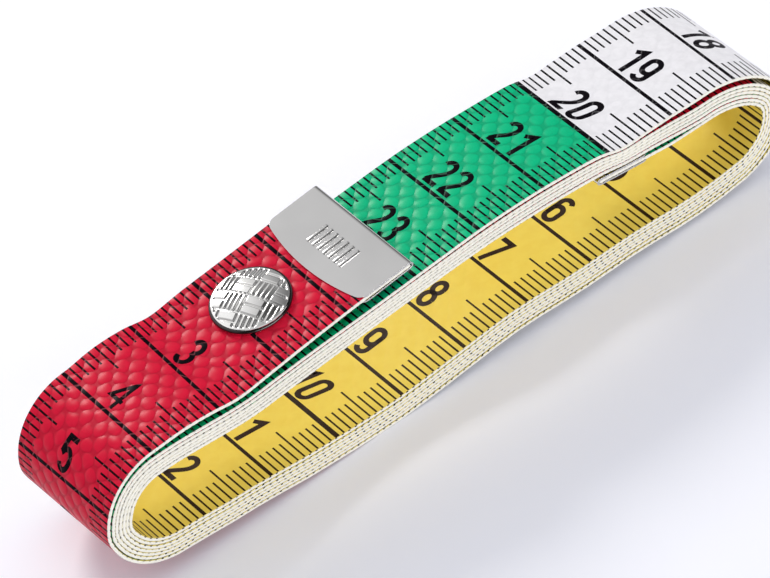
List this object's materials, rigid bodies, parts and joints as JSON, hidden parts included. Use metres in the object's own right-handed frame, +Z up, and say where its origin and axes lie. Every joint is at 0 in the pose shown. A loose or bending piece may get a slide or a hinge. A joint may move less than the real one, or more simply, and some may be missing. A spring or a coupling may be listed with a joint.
{
  "type": "cloth tape measure",
  "caption": "Flexible sewing tape measure with scales on both faces, wound into a flat oval coil, with metal end clips and a press stud that keeps the coil closed.",
  "frame": {"origin": "middle of the coil's footprint, on the surface that it stands on", "axes": "+Z up, +X along the coil away from the press stud, +Y across the tape"},
  "size_m": [0.1058, 0.019, 0.0214],
  "materials": {
    "tape": "PVC-coated glass cloth, embossed and printed in red, white and green outside and yellow inside, with cream cut edges",
    "nickel": "bright nickel plating, lightly rubbed",
    "spring_wire": "plain spring wire"
  },
  "bodies": {
    "coil": {"tape_coil": "tape", "snap_stud": "nickel", "stud_eyelet": "nickel"},
    "free_end": {"tape_free_end": "tape", "end_clip": "nickel", "snap_cap": "nickel", "cap_rivet": "nickel", "snap_socket": "nickel", "socket_spring": "spring_wire"},
    "inner_end": {"tape_inner_end": "tape", "inner_end_clip": "nickel"}
  },
  "joints": [
    {"name": "free_end_lift", "type": "hinge", "parent": "coil", "child": "free_end", "pos_m": [-0.04322, 0, 0.019], "axis": [0, -1, 0], "range_deg": [0, 100], "deforming": ["socket_spring"]},
    {"name": "inner_end_swing", "type": "hinge", "parent": "coil", "child": "inner_end", "pos_m": [0.03455, 0, 0.01277], "axis": [0, -1, 0], "range_deg": [0, 15], "stiffness_Nm_per_rad": 0.004}
  ]
}
